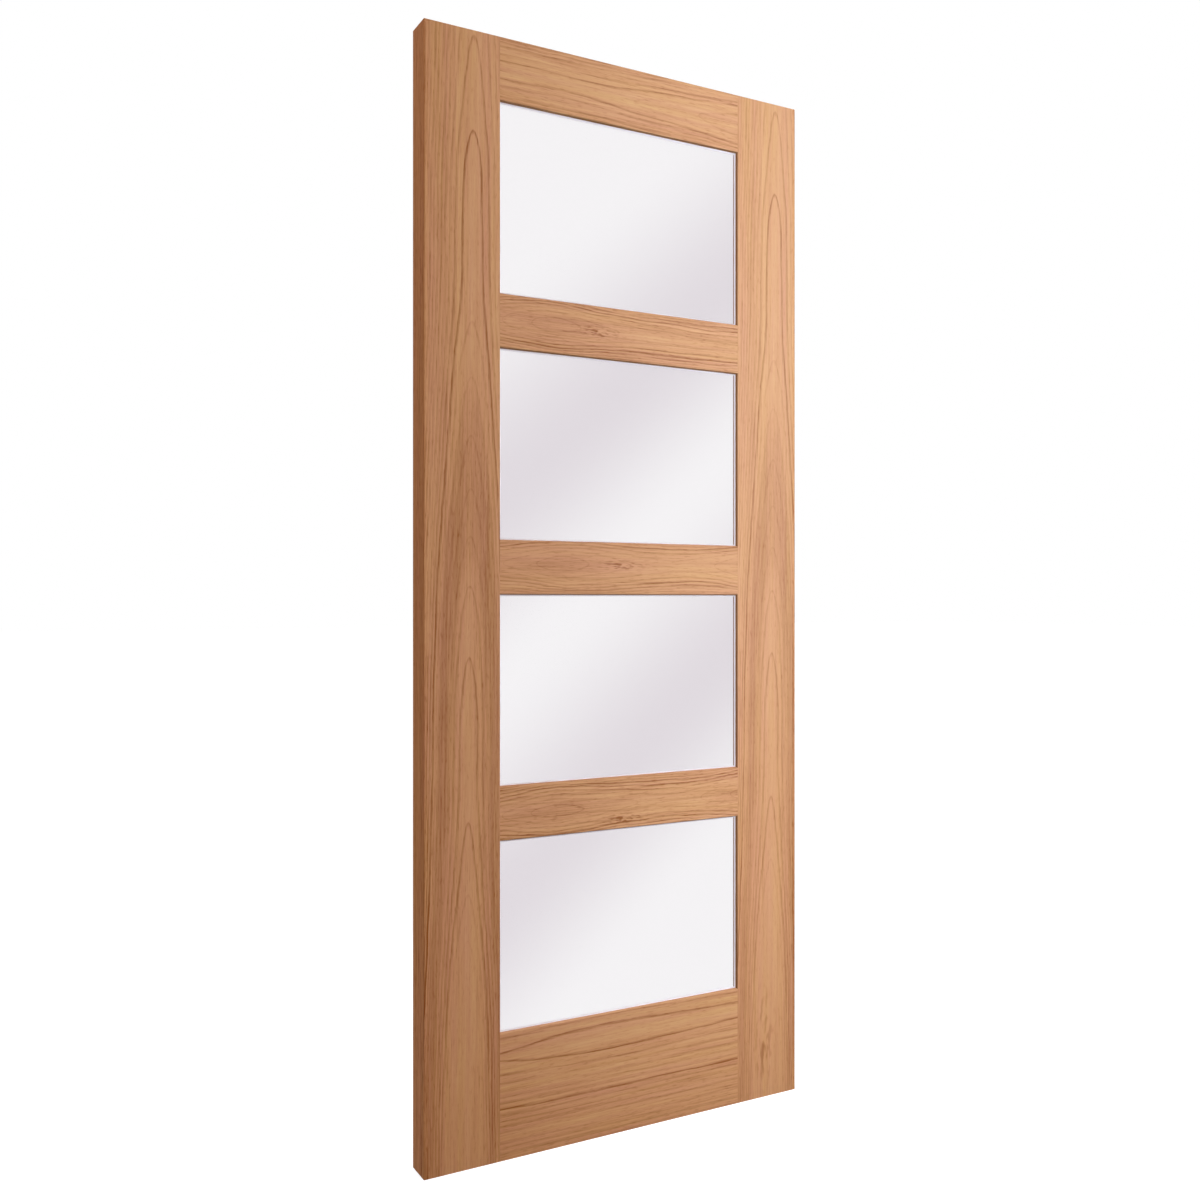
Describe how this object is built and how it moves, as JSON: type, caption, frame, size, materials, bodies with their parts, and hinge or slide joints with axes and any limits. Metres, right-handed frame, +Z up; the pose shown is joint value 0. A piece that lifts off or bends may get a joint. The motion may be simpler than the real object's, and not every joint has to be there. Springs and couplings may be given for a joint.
{
  "type": "glazed interior door leaf",
  "caption": "Flat oak-veneered interior door leaf: full-height stiles, scribed rails and a stack of equal clear glass lights held from the back by mitred splayed beads.",
  "frame": {"origin": "foot of the hanging edge, on its face, in the middle of the leaf's thickness", "axes": "+X across the leaf from the hanging edge to the lock edge, +Y from the front face to the back, +Z up"},
  "size_m": [0.813, 0.057, 2.032],
  "materials": {
    "oak_veneer": "crown-cut oak veneer, sanded and lightly sealed",
    "oak_lipping": "planed solid oak, sanded and lightly sealed",
    "oak_bead": "moulded solid oak, sanded and lightly sealed",
    "clear_glass": "clear float glass, polished"
  },
  "bodies": {
    "root": {"hanging_stile": "oak_veneer", "lock_stile": "oak_veneer", "top_rail": "oak_veneer", "upper_rail": "oak_veneer", "middle_rail": "oak_veneer", "lower_rail": "oak_veneer", "bottom_rail": "oak_veneer", "hanging_edge_lipping": "oak_lipping", "lock_edge_lipping": "oak_lipping", "top_pane": "clear_glass", "upper_pane": "clear_glass", "lower_pane": "clear_glass", "bottom_pane": "clear_glass", "top_pane_head_bead": "oak_bead", "top_pane_lock_bead": "oak_bead", "top_pane_sill_bead": "oak_bead", "top_pane_hanging_bead": "oak_bead", "upper_pane_head_bead": "oak_bead", "upper_pane_lock_bead": "oak_bead", "upper_pane_sill_bead": "oak_bead", "upper_pane_hanging_bead": "oak_bead", "lower_pane_head_bead": "oak_bead", "lower_pane_lock_bead": "oak_bead", "lower_pane_sill_bead": "oak_bead", "lower_pane_hanging_bead": "oak_bead", "bottom_pane_head_bead": "oak_bead", "bottom_pane_lock_bead": "oak_bead", "bottom_pane_sill_bead": "oak_bead", "bottom_pane_hanging_bead": "oak_bead"}
  },
  "joints": []
}
